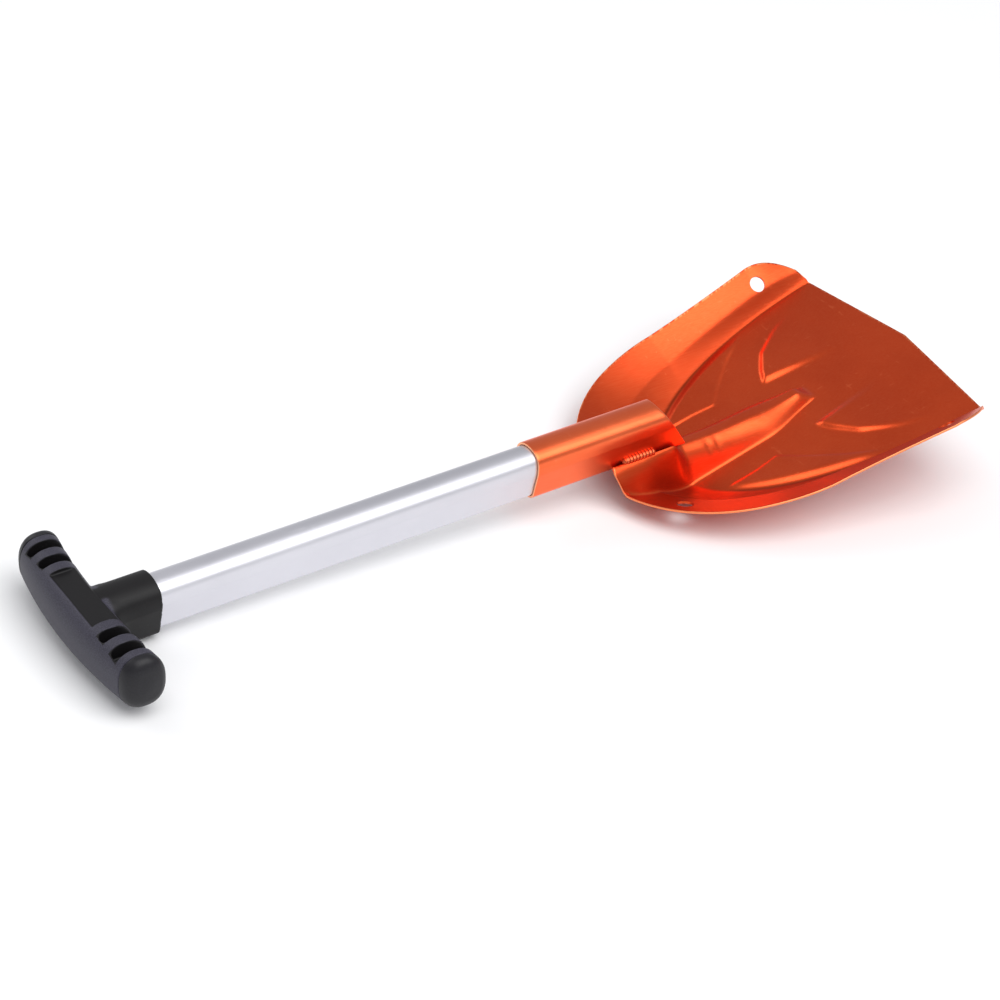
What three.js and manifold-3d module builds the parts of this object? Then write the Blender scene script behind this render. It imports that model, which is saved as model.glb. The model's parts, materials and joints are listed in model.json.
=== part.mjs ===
// Avalanche shovel: a pressed aluminium blade with a welded socket, a shaft that a
// snap clip locks into the socket, and a moulded T grip. Millimetres, +Z up.
// The shovel is designed about its shaft axis: X runs forward to the blade, Y to the
// left, and the origin is the middle of the socket's mouth. At the end it is laid on
// the ground, on its blade and the heel of its grip.
import * as THREE from 'three';
import { mergeVertices } from 'three/addons/utils/BufferGeometryUtils.js';
import Module from 'manifold-3d';

const wasm = await Module();
wasm.setup();

// ---- driving dimensions ----
const GAP = 0.3; // clearance between pieces that touch

const SHAFT_WIDTH = 23.2;
const SHAFT_HEIGHT = 35.7;
const SHAFT_WALL = 1.5;
const SHAFT_VISIBLE = 277.5; // from the grip's sleeve to the socket's mouth

const SOCKET_WALL = 1.5;
const SOCKET_TOP_LENGTH = 103;
const SOCKET_BOTTOM_LENGTH = 131;
const ENGAGEMENT = 72; // length of shaft inside the socket

const BLADE_WIDTH = 230;
const BLADE_LENGTH = 270;
const BLADE_THICKNESS = 1.6;
const BLADE_PITCH = 13.9; // degrees, nose up from the shaft axis
const BLADE_OVERLAP = 58.5; // how far the blade's rear shoulders lie behind the socket's front
const FLOOR_DROP = 42; // from the socket's underside to the blade floor, below the rear shoulders
const FLANGE_FRONT = 24.6; // height of the side flanges
const FLANGE_REAR = 33; // height of the rear shoulders
const POINT_DEPTH = 12.5; // how far the front edge's point stands ahead of its corners
const REAR_NOTCH = 8; // how far the middle of the rear edge lies ahead of the shoulders
const RIM_TAPER = 0.125; // how much narrower the sides stand at the rear, as a share
const LASH_HOLE = 12; // diameter of the holes in the flanges
const CRADLE_RISE = 8; // how far the ridge's sides climb up the socket
const RIDGE_HEIGHT = 9; // height of the ridge near its tip
const WELD_RADIUS = 3.2;
const WELD_LENGTH = 28;

const CLIP_SETBACK = 25; // from the socket's mouth to the button
const BUTTON_DIAMETER = 8;
const BUTTON_PROUD = 3; // how far the button stands out of the socket
const CLIP_THICKNESS = 0.8;
const CLIP_WIDTH = 9;
const CLIP_LENGTH = 34;

const GRIP_WIDTH = 148;
const GRIP_DEPTH = 29.6;
const GRIP_HEIGHT = 38.3;
const GRIP_BOW = 6.6; // how far the middle of the bar bows back from its ends
const GRIP_RISE = 5; // how far the bar's axis lies above the shaft's
const SLEEVE_WALL = 2.6;
const SLEEVE_LENGTH = 25.8; // from the sleeve's end to the front of the bar's ends
const CAP_LENGTH = 9;
const SLOT_PLACES = [39.5, 55]; // from the middle of the bar
const SLOT_WIDTH = 8;
const SLOT_DEPTH = 11;
const DISH_HALF = 28; // half the dish's length along the bar
const DISH_DEPTH = 3;
const SPIGOT_RADIUS = 6; // of the caps, inside the bar
const SPIGOT_LENGTH = 8;
const SCREW_DIAMETER = 5;
const SCREW_HEAD_DIAMETER = 9;
const SCREW_HEAD_HEIGHT = 2.2;

const SEGMENTS = 24; // round a whole circle
const RAD = Math.PI / 180;

// ---- solids ----
function toManifold(geometry) {
  const bare = geometry.clone();
  bare.deleteAttribute('normal');
  bare.deleteAttribute('uv');
  const merged = mergeVertices(bare, 1e-4);
  return new wasm.Manifold(new wasm.Mesh({
    numProp: 3,
    vertProperties: new Float32Array(merged.attributes.position.array),
    triVerts: new Uint32Array(merged.index.array),
  }));
}

function toGeometry(manifold) {
  const mesh = manifold.getMesh();
  const geometry = new THREE.BufferGeometry();
  geometry.setAttribute('position', new THREE.BufferAttribute(mesh.vertProperties, 3));
  geometry.setIndex(new THREE.BufferAttribute(mesh.triVerts, 1));
  geometry.computeVertexNormals();
  return geometry;
}

function cut(geometry, ...tools) {
  return toGeometry(tools.reduce((body, tool) => body.subtract(toManifold(tool)), toManifold(geometry)));
}

function join(geometry, ...others) {
  return toGeometry(others.reduce((body, other) => body.add(toManifold(other)), toManifold(geometry)));
}

// A closed box or cylinder whose points are moved by a function of their own place.
function mapped(geometry, place) {
  const position = geometry.attributes.position;
  const point = new THREE.Vector3();
  for (let i = 0; i < position.count; i += 1) {
    point.fromBufferAttribute(position, i);
    const moved = place(point);
    position.setXYZ(i, moved.x, moved.y, moved.z);
  }
  return geometry;
}

function box(xRange, yRange, zRange) {
  const sides = [xRange, yRange, zRange].map(([low, high]) => high - low);
  const middle = [xRange, yRange, zRange].map(([low, high]) => (low + high) / 2);
  return new THREE.BoxGeometry(...sides).translate(...middle);
}

function clamp01(value) {
  return Math.min(1, Math.max(0, value));
}

function smooth(value) {
  const t = clamp01(value);
  return t * t * (3 - 2 * t);
}

// ---- the tube section shared by shaft, socket and sleeve ----
// An egg: an arched top, tall sides that lean in towards a narrower, rounded bottom.
function sectionShape(width, height) {
  const half = width / 2;
  const top = height / 2;
  const shape = new THREE.Shape();
  shape.moveTo(0, -top);
  shape.quadraticCurveTo(half * 0.62, -top, half * 0.72, -top * 0.74);
  shape.lineTo(half * 0.99, top * 0.2);
  shape.bezierCurveTo(half * 1.01, top * 0.6, half * 0.95, top * 0.72, half * 0.7, top * 0.87);
  shape.quadraticCurveTo(half * 0.4, top, 0, top);
  shape.quadraticCurveTo(-half * 0.4, top, -half * 0.7, top * 0.87);
  shape.bezierCurveTo(-half * 0.95, top * 0.72, -half * 1.01, top * 0.6, -half * 0.99, top * 0.2);
  shape.lineTo(-half * 0.72, -top * 0.74);
  shape.quadraticCurveTo(-half * 0.62, -top, 0, -top);
  return shape;
}

// The section, solid from one X to the other.
function prism(width, height, xFrom, xTo, steps = 1) {
  const options = { depth: xTo - xFrom, steps, bevelEnabled: false, curveSegments: 7 };
  const geometry = new THREE.ExtrudeGeometry(sectionShape(width, height), options);
  const turn = new THREE.Matrix4().makeBasis(
    new THREE.Vector3(0, 1, 0), new THREE.Vector3(0, 0, 1), new THREE.Vector3(1, 0, 0));
  return geometry.applyMatrix4(turn).translate(xFrom, 0, 0);
}

const socketBore = { width: SHAFT_WIDTH + 2 * GAP, height: SHAFT_HEIGHT + 2 * GAP };
const socketOuter = {
  width: socketBore.width + 2 * SOCKET_WALL,
  height: socketBore.height + 2 * SOCKET_WALL,
};
const socketBottom = -socketOuter.height / 2;

// ---- grip places, from the sleeve's end backwards ----
const sleeveEnd = -SHAFT_VISIBLE;
const barFront = sleeveEnd - SLEEVE_LENGTH;
const barAxis = barFront - GRIP_DEPTH / 2; // the bar's axis at its ends
const shaftRear = barAxis + 3;
const barTop = GRIP_RISE + GRIP_HEIGHT / 2;
const screwX = sleeveEnd - SLEEVE_LENGTH / 2;

// ---- blade surface: u forward and v sideways on the floor plane, h above it ----
const pitch = BLADE_PITCH * RAD;
const bladeRear = SOCKET_BOTTOM_LENGTH - BLADE_OVERLAP;
const rimCentre = BLADE_LENGTH * 0.439; // from the rear, where the sides start to run straight
const floorRear = BLADE_LENGTH * 0.208;
const floorCentre = BLADE_LENGTH * 1.009;
const floorHalf = BLADE_WIDTH * 0.411;
const cornerStart = BLADE_LENGTH * 0.801; // where the side's front corner starts to round
const cornerU = BLADE_LENGTH - POINT_DEPTH;
const cornerCut = BLADE_WIDTH * 0.082;
const shoulderU = BLADE_LENGTH * 0.006; // the outline starts here, where it has some width
const notchU = shoulderU + REAR_NOTCH;

// Half width of the outline without its rounded rear and corners: it widens forward.
function rimStraight(u) {
  const taperStart = rimCentre * 0.6;
  const along = clamp01((u - taperStart) / (cornerStart - taperStart));
  return (BLADE_WIDTH / 2) * (1 - RIM_TAPER + RIM_TAPER * along ** 1.5);
}

function rimHalf(u) {
  const back = clamp01((rimCentre - u) / rimCentre);
  const corner = cornerCut * clamp01((u - cornerStart) / (cornerU - cornerStart)) ** 2.5;
  return rimStraight(u) * Math.sqrt(1 - back * back) - corner;
}

// 0 on the flat floor, 1 on the rim, and between them the flange and rear shoulder.
function flangeShare(u, v) {
  const rim = Math.hypot(clamp01((rimCentre - u) / rimCentre), v / rimStraight(u));
  const back = Math.max(0, (floorCentre - u) / (floorCentre - floorRear));
  const floor = Math.hypot(back, v / floorHalf);
  if (floor <= 1) return 0;
  return (floor - 1) / (floor - 1 + Math.max(0, 1 - rim));
}

// The flange bends up steeply from the floor, then flares out.
function flangeProfile(share) {
  const bend = 0.38;
  const bendHeight = 0.52;
  if (share < bend) return bendHeight * (share / bend) ** 1.25;
  return bendHeight + (1 - bendHeight) * ((share - bend) / (1 - bend));
}

function panHeight(u, v) {
  const rim = FLANGE_FRONT + (FLANGE_REAR - FLANGE_FRONT) * clamp01(1 - u / rimCentre);
  const front = 1 - 0.28 * smooth((u - cornerStart) / (BLADE_LENGTH - cornerStart));
  return rim * front * flangeProfile(flangeShare(u, v));
}

// The ridge cradles the socket's underside and drops a little clear of it ahead of the
// welds. It runs on in line with the socket until it has come down near the floor, and
// then level to a rounded tip.
const FLAT = 0.02; // a height that counts as floor
const RIDGE_CLEARANCE = 1.8; // below the socket, ahead of the welds
const CRADLE_TOP = 12;
const CRADLE_FOOT = 23;
const RIDGE_TOP = 2;
const RIDGE_FOOT = 17;
const RIDGE_TIP_FOOT = 8;
const ridgeTip = BLADE_LENGTH * 0.677;
const ridgeTipLength = BLADE_LENGTH * 0.06;
const floorOrigin = new THREE.Vector3(bladeRear, 0, socketBottom - GAP - FLOOR_DROP);
const forward = new THREE.Vector3(Math.cos(pitch), 0, Math.sin(pitch));
const upward = new THREE.Vector3(-Math.sin(pitch), 0, Math.cos(pitch));

function sheetHeight(u, v) {
  const pan = panHeight(u, v);
  const socketLevel = (FLOOR_DROP - u * Math.sin(pitch)) / Math.cos(pitch);
  const along = bladeRear + u * Math.cos(pitch) - socketLevel * Math.sin(pitch);
  const ahead = smooth((along - SOCKET_BOTTOM_LENGTH + 14) / 12);
  const runOut = smooth((u / BLADE_LENGTH - 0.26) / 0.22);
  const cradle = CRADLE_RISE * Math.min(1, Math.abs(v) / CRADLE_TOP) ** 4;
  const level = Math.max(0, socketLevel - ahead * RIDGE_CLEARANCE);
  const crest = Math.hypot(level, RIDGE_HEIGHT * runOut) + (1 - ahead) * cradle;
  const ridge = Math.max(pan, crest * smooth((ridgeTip - u) / ridgeTipLength));
  const top = CRADLE_TOP + ahead * (RIDGE_TOP - CRADLE_TOP);
  const narrow = smooth((u / BLADE_LENGTH - 0.48) / 0.18);
  const foot = CRADLE_FOOT + (RIDGE_FOOT - CRADLE_FOOT) * smooth((u / BLADE_LENGTH - 0.07) / 0.19)
    + (RIDGE_TIP_FOOT - RIDGE_FOOT) * narrow;
  const fall = clamp01((Math.abs(v) - top) / (foot - top)) ** 2;
  const height = pan + (ridge - pan) * (1 - fall);
  return height < FLAT ? 0 : height;
}

function sheetNormal(u, v) {
  const step = 0.5;
  const slopeU = (sheetHeight(u + step, v) - sheetHeight(u - step, v)) / (2 * step);
  const slopeV = (sheetHeight(u, v + step) - sheetHeight(u, v - step)) / (2 * step);
  const normal = upward.clone().addScaledVector(forward, -slopeU);
  normal.y -= slopeV;
  return normal.normalize();
}

// A point on the sheet's upper face, or under it by some depth.
function sheetPoint(u, v, depth = 0) {
  const point = floorOrigin.clone().addScaledVector(forward, u);
  point.addScaledVector(upward, sheetHeight(u, v));
  point.y += v;
  return point.addScaledVector(sheetNormal(u, v), -depth);
}

// The pressed sheet between two depths under its upper face. Rows crowd together at the
// rear, where it is most curved, and bend forward in the middle. Columns crowd
// together on the ridge.
function sheet(upper, lower) {
  const rows = 34;
  const columns = 42;
  const ridgeColumns = 0.4;
  return mapped(new THREE.BoxGeometry(1, 1, 1, rows, columns, 1), (point) => {
    const along = (point.x + 0.5) ** 1.4;
    const across = Math.abs(2 * point.y);
    const edge = shoulderU + (cornerU - shoulderU) * along;
    const middle = notchU + (BLADE_LENGTH - notchU) * along;
    const rim = rimHalf(edge);
    const ridge = Math.min(CRADLE_FOOT + 3, rim * 0.6);
    const onRidge = Math.min(1, across / ridgeColumns);
    const beyond = Math.max(0, (across - ridgeColumns) / (1 - ridgeColumns));
    const v = ridge * onRidge + (rim - ridge) * beyond;
    const u = middle + (edge - middle) * (v / rim);
    return sheetPoint(u, Math.sign(point.y) * v, point.z > 0 ? upper : lower);
  });
}

// ---- blade ----
const lashHoles = [
  [BLADE_LENGTH * 0.127, BLADE_WIDTH * 0.207],
  [BLADE_LENGTH * 0.806, BLADE_WIDTH * 0.449],
].flatMap(([u, v]) => [[u, v], [u, -v]]);

function lashHole([u, v]) {
  const drill = new THREE.CylinderGeometry(LASH_HOLE / 2, LASH_HOLE / 2, 14, SEGMENTS);
  const turn = new THREE.Quaternion().setFromUnitVectors(new THREE.Vector3(0, 1, 0), sheetNormal(u, v));
  const centre = sheetPoint(u, v);
  return drill.applyQuaternion(turn).translate(centre.x, centre.y, centre.z);
}

function socketSpace(from, to) {
  return prism(socketOuter.width + 2 * GAP, socketOuter.height + 2 * GAP, from, to);
}

function blade() {
  const tools = [socketSpace(0, SOCKET_BOTTOM_LENGTH + GAP), ...lashHoles.map(lashHole)];
  return cut(sheet(0, BLADE_THICKNESS), ...tools);
}

// ---- socket and its two welds ----
function downwardHole(x, diameter) {
  const drill = new THREE.CylinderGeometry(diameter / 2, diameter / 2, SHAFT_HEIGHT, SEGMENTS);
  return drill.rotateX(Math.PI / 2).translate(x, 0, -SHAFT_HEIGHT * 0.75);
}

function socket() {
  const tube = prism(socketOuter.width, socketOuter.height, 0, SOCKET_BOTTOM_LENGTH);
  const bore = prism(socketBore.width, socketBore.height, -1, SOCKET_BOTTOM_LENGTH + 1);
  const lean = Math.atan2(SOCKET_BOTTOM_LENGTH - SOCKET_TOP_LENGTH, socketOuter.height);
  const frontCut = box([0, 2 * socketOuter.height], [-SHAFT_WIDTH, SHAFT_WIDTH], [-60, 60]);
  frontCut.rotateY(-lean).translate((SOCKET_BOTTOM_LENGTH + SOCKET_TOP_LENGTH) / 2, 0, 0);
  return cut(tube, bore, frontCut, downwardHole(CLIP_SETBACK, BUTTON_DIAMETER + 2 * GAP));
}

function weld(side) {
  const bead = new THREE.CapsuleGeometry(WELD_RADIUS, WELD_LENGTH - 2 * WELD_RADIUS, 4, 14, 6);
  const across = side * socketOuter.width * 0.41;
  const up = socketBottom + CRADLE_RISE;
  bead.rotateZ(Math.PI / 2);
  bead.translate(sheetPoint(notchU, 0).x + WELD_LENGTH / 2, across, up);
  const clear = [[0, 0, GAP], [0, GAP, 0], [0, -GAP, 0]];
  const sheets = clear.map((move) => sheet(0, BLADE_THICKNESS + 4).translate(...move));
  return cut(bead, socketSpace(0, SOCKET_BOTTOM_LENGTH), ...sheets);
}

// ---- shaft ----
const shaftInner = { width: SHAFT_WIDTH - 2 * SHAFT_WALL, height: SHAFT_HEIGHT - 2 * SHAFT_WALL };

function shaft() {
  const tube = prism(SHAFT_WIDTH, SHAFT_HEIGHT, shaftRear, ENGAGEMENT);
  const bore = prism(shaftInner.width, shaftInner.height, shaftRear - 1, ENGAGEMENT + 1);
  return cut(tube, bore, downwardHole(CLIP_SETBACK, BUTTON_DIAMETER + 2 * GAP),
    downwardHole(screwX, SCREW_DIAMETER + 2 * GAP));
}

// ---- snap clip: a bent spring strip with a round button through both tubes ----
function strip(points, thickness, width) {
  const sides = [1, -1].map((side) => points.map((point, i) => {
    const before = points[Math.max(0, i - 1)];
    const after = points[Math.min(points.length - 1, i + 1)];
    const normal = new THREE.Vector2(before.y - after.y, after.x - before.x).normalize();
    return point.clone().addScaledVector(normal, (side * thickness) / 2);
  }));
  const shape = new THREE.Shape([...sides[0], ...sides[1].reverse()]);
  const geometry = new THREE.ExtrudeGeometry(shape, { depth: width, bevelEnabled: false });
  return geometry.rotateX(Math.PI / 2).translate(0, width / 2, 0);
}

function snapClip() {
  const rest = shaftInner.height / 2 - 1.6; // where the strip's edges meet the rounded bore
  const front = CLIP_SETBACK + BUTTON_DIAMETER;
  const bend = front - CLIP_LENGTH;
  const arm = [[front, rest], [bend + 15, rest], [bend + 9, rest * 0.8], [bend + 1.5, rest * 0.22]];
  const lower = arm.map(([x, z]) => new THREE.Vector2(x, -z));
  const upper = arm.map(([x, z]) => new THREE.Vector2(x, z)).reverse();
  const path = [...lower, new THREE.Vector2(bend, 0), ...upper];
  const radius = BUTTON_DIAMETER / 2;
  const tip = socketBottom - BUTTON_PROUD;
  const profile = [[0, -rest], [radius, -rest], [radius, tip + 2], [radius - 0.6, tip + 0.8],
    [radius - 1.8, tip + 0.1], [0, tip]];
  const outline = profile.reverse().map(([r, z]) => new THREE.Vector2(r, z));
  const button = new THREE.LatheGeometry(outline, SEGMENTS);
  button.rotateX(Math.PI / 2).translate(CLIP_SETBACK, 0, 0);
  return join(strip(path, CLIP_THICKNESS, CLIP_WIDTH), button);
}

// ---- grip ----
const barHalf = GRIP_WIDTH / 2 - CAP_LENGTH - GAP;

// A rounded-oval bar along Y that bows back in the middle; widen scales its section.
function barSpan(from, to, steps, widen = () => 1) {
  const power = 2 / 2.4;
  const unit = new THREE.CylinderGeometry(1, 1, 1, 28, steps);
  return mapped(unit, (point) => {
    const share = point.y + 0.5;
    const y = from + (to - from) * share;
    const reach = Math.min(1, Math.abs(y) / (GRIP_WIDTH / 2));
    const size = widen(share) * (1 - 0.06 * reach * reach);
    const round = (value) => Math.sign(value) * Math.abs(value) ** power;
    const x = barAxis - GRIP_BOW * (1 - reach * reach) + (round(point.x) * size * GRIP_DEPTH) / 2;
    return new THREE.Vector3(x, y, GRIP_RISE + (round(point.z) * size * GRIP_HEIGHT) / 2);
  });
}

const sleeveOuter = {
  width: SHAFT_WIDTH + 2 * (GAP + SLEEVE_WALL),
  height: SHAFT_HEIGHT + 2 * (GAP + SLEEVE_WALL),
};

function slotTools(y) {
  const floor = barTop - SLOT_DEPTH;
  const rear = barAxis - GRIP_DEPTH * 0.33;
  const half = SLOT_WIDTH / 2;
  const end = new THREE.CylinderGeometry(half, half, 2 * SLOT_DEPTH, SEGMENTS);
  end.rotateX(Math.PI / 2).translate(rear, y, floor + SLOT_DEPTH);
  const channel = box([rear, barFront + 20], [y - half, y + half], [floor, floor + 2 * SLOT_DEPTH]);
  return [end, channel];
}

function spigotBore(side) {
  const radius = SPIGOT_RADIUS + GAP;
  const drill = new THREE.CylinderGeometry(radius, radius, 2 * (SPIGOT_LENGTH + GAP), SEGMENTS);
  return drill.translate(barAxis, side * barHalf, GRIP_RISE);
}

// The flat dish in the top of the bar, between the slots and open towards the sleeve.
function gripDish() {
  const rear = barAxis - GRIP_BOW - GRIP_DEPTH * 0.22;
  return box([rear, barFront + 20], [-DISH_HALF, DISH_HALF], [barTop - DISH_DEPTH, barTop + 5]);
}

function gripBody() {
  const flare = (x) => 1 + 0.1 * clamp01((barFront + 8 - x) / 12) ** 2;
  const heel = (x) => Math.sqrt(1 - clamp01((barAxis - x) / 11) ** 2);
  const neck = mapped(
    prism(sleeveOuter.width, sleeveOuter.height * 0.98, barAxis - 10, barFront + 8, 12),
    ({ x, y, z }) => new THREE.Vector3(x, y * flare(x), z * heel(x)));
  const sleeve = prism(sleeveOuter.width, sleeveOuter.height, barAxis, sleeveEnd);
  const solid = join(barSpan(-barHalf, barHalf, 16), neck, sleeve);
  const cavity = prism(socketBore.width, socketBore.height, shaftRear - GAP, sleeveEnd + 1);
  const slots = SLOT_PLACES.flatMap((y) => [y, -y]).flatMap(slotTools);
  const seat = downwardHole(screwX, SCREW_HEAD_DIAMETER + 2 * GAP);
  seat.translate(0, 0, screwSeat - (-SHAFT_HEIGHT * 0.25));
  return cut(solid, cavity, gripDish(), ...slots, spigotBore(1), spigotBore(-1),
    downwardHole(screwX, SCREW_DIAMETER + 2 * GAP), seat);
}

function gripCap(side) {
  const dome = (share) => (1 - clamp01(side > 0 ? share : 1 - share) ** 3) ** 0.5 * 0.62 + 0.38;
  const inner = side * (barHalf + GAP);
  const outer = (side * GRIP_WIDTH) / 2;
  const shell = barSpan(Math.min(inner, outer), Math.max(inner, outer), 6, dome);
  const spigot = new THREE.CylinderGeometry(SPIGOT_RADIUS, SPIGOT_RADIUS, SPIGOT_LENGTH + 2, SEGMENTS);
  spigot.translate(barAxis, inner - side * (SPIGOT_LENGTH / 2 - 1), GRIP_RISE);
  return join(shell, spigot);
}

// ---- grip screw, from below ----
const screwSeat = -SHAFT_HEIGHT / 2 - GAP - SLEEVE_WALL * 0.6; // where the head bears

function screw() {
  const shank = SCREW_DIAMETER / 2;
  const head = SCREW_HEAD_DIAMETER / 2;
  const under = screwSeat - GAP;
  const low = under - SCREW_HEAD_HEIGHT;
  const tip = -SHAFT_HEIGHT / 2 + 7;
  const profile = [[0, low], [head * 0.6, low], [head, under - 0.8], [head, under], [shank, under],
    [shank, tip - 1.5], [shank * 0.4, tip], [0, tip]];
  const outline = profile.map(([r, z]) => new THREE.Vector2(r, z));
  return new THREE.LatheGeometry(outline, SEGMENTS).rotateX(Math.PI / 2).translate(screwX, 0, 0);
}

// ---- the assembly, about the shaft axis ----
const finishes = {
  orange: { color: '#d8481c', roughness: 0.32, metalness: 0.9 },
  silver: { color: '#d9d9de', roughness: 0.34, metalness: 0.9 },
  bead: { color: '#cf4a22', roughness: 0.45, metalness: 0.8 },
  steel: { color: '#b8b8bb', roughness: 0.3, metalness: 1 },
  black: { color: '#2b2a2e', roughness: 0.62, metalness: 0 },
};

const pieces = [
  ['blade', blade(), 'orange'],
  ['socket', socket(), 'orange'],
  ['weld_left', weld(1), 'bead'],
  ['weld_right', weld(-1), 'bead'],
  ['shaft', shaft(), 'silver'],
  ['snap_clip', snapClip(), 'steel'],
  ['grip_body', gripBody(), 'black'],
  ['grip_cap_left', gripCap(1), 'black'],
  ['grip_cap_right', gripCap(-1), 'black'],
  ['grip_screw', screw(), 'steel'],
];

const shovel = new THREE.Group();
for (const [name, geometry, finish] of pieces) {
  const mesh = new THREE.Mesh(geometry, new THREE.MeshStandardMaterial(finishes[finish]));
  mesh.name = name;
  shovel.add(mesh);
}

// ---- on the ground: turned until blade and grip reach equally low ----
function lowest(name, angle) {
  const position = shovel.getObjectByName(name).geometry.attributes.position;
  let low = Infinity;
  for (let i = 0; i < position.count; i += 1) {
    low = Math.min(low, position.getX(i) * Math.sin(angle) + position.getZ(i) * Math.cos(angle));
  }
  return low;
}

function groundAngle() {
  let flat = 0;
  let steep = 30 * RAD;
  for (let i = 0; i < 40; i += 1) {
    const middle = (flat + steep) / 2;
    if (lowest('blade', middle) < lowest('grip_body', middle)) flat = middle;
    else steep = middle;
  }
  return steep;
}

shovel.rotation.y = -groundAngle();
shovel.updateMatrixWorld(true);
const extent = new THREE.Box3().setFromObject(shovel, true);
const foot = extent.getCenter(new THREE.Vector3()).setZ(extent.min.z);
shovel.position.sub(foot);

const model = new THREE.Group();
model.add(shovel);
export default model;
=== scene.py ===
"""Looks of a compact avalanche shovel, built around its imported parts.

The blade, its socket and welds, the shaft, the snap clip and the T grip are built as
numpy surfaces in millimetres about the shaft's axis, and laid on the ground in the
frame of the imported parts, in metres.
"""
from __future__ import annotations

import json
import logging
import math
from dataclasses import dataclass
from enum import Enum
from typing import Callable, Sequence

import bmesh
import bpy
import numpy as np
from mathutils import Matrix, Vector

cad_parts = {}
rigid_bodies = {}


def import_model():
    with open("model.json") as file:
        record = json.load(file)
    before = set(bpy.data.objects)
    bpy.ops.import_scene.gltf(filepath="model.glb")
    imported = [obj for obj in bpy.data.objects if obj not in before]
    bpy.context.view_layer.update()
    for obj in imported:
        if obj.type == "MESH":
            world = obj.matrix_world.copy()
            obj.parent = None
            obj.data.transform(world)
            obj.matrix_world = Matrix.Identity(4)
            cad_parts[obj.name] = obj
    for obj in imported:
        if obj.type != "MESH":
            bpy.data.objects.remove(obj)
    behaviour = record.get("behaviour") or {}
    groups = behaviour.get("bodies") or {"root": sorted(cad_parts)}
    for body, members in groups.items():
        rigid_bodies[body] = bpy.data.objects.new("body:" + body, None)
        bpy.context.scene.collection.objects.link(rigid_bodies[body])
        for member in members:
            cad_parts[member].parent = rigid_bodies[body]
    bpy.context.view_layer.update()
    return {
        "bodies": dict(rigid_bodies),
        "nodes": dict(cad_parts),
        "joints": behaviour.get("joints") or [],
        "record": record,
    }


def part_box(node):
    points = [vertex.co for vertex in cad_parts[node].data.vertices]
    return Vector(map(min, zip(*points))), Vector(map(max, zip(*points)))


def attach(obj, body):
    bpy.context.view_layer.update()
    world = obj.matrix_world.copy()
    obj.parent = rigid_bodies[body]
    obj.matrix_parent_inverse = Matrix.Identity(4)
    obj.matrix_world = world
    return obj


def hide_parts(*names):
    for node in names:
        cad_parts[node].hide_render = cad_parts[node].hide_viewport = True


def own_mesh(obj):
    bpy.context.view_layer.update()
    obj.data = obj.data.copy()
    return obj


LOG = logging.getLogger("shovel")
Array = np.ndarray
MM = 0.001

# Lengths that several pieces share, in millimetres along the shaft's axis or across it.
CLEARANCE = 0.3
WALL = 1.5
SOCKET_LENGTH = 131.0
ENGAGEMENT = 72.0
BUTTON_PLACE = 25.0
SCREW_PLACE = -290.4
GRIP_AXIS = -318.1
UP = np.array([0.0, 0.0, 1.0])
LEFT = np.array([0.0, 1.0, 0.0])


class Body(str, Enum):
    """The rigid bodies that pieces ride on."""

    BLADE = "blade"
    SHAFT = "shaft"
    CLIP = "clip"


class Slot(str, Enum):
    """The record's material slots."""

    BLADE = "blade_anodised"
    SOCKET = "socket_anodised"
    WELD = "weld_bead"
    SHAFT = "shaft_anodised"
    SPRING = "spring_steel"
    GRIP = "grip_nylon"
    CAP = "cap_nylon"
    SCREW = "screw_steel"


# ---------------------------------------------------------------- small maths


def clamp01(value: Array | float) -> Array:
    """The value held between 0 and 1."""
    return np.clip(value, 0.0, 1.0)


def smooth(value: Array | float) -> Array:
    """A step from 0 to 1 that leaves and arrives level: 3t^2 - 2t^3."""
    t = clamp01(value)
    return t * t * (3.0 - 2.0 * t)


# ---------------------------------------------------------------- the shaft's frame


@dataclass(frozen=True)
class ShaftFrame:
    """The frame about the shaft's axis, and how it lies on the ground.

    X runs forward to the blade from the middle of the socket's mouth, Y to the left and
    Z up. Lengths are millimetres.
    """

    lean: float
    origin: Vector

    @classmethod
    def from_parts(cls, frame: dict, socket_half: float) -> "ShaftFrame":
        """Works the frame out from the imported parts.

        Args:
            socket_half: half the socket's height, in millimetres.

        Returns:
            The frame whose socket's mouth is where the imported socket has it.
        """
        joints = frame["record"]["behaviour"]["joints"]
        joint = next(joint for joint in joints if joint["name"] == "shaft_pull")
        lean = math.atan2(-joint["axis"][2], -joint["axis"][0])
        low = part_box("socket")[0]
        x = low[0] + socket_half * MM * math.sin(lean)
        z = low[2] + socket_half * MM * math.cos(lean)
        return cls(lean, Vector((x, 0.0, z)))

    @property
    def matrix(self) -> Matrix:
        """From millimetres in this frame to metres on the ground."""
        return (Matrix.Translation(self.origin) @ Matrix.Rotation(-self.lean, 4, "Y")
                @ Matrix.Scale(MM, 4))

    def place(self, points: Array) -> Array:
        """Points in this frame, in millimetres, as metres on the ground."""
        matrix = np.array(self.matrix)
        return points @ matrix[:3, :3].T + matrix[:3, 3]


# ---------------------------------------------------------------- meshes


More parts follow.
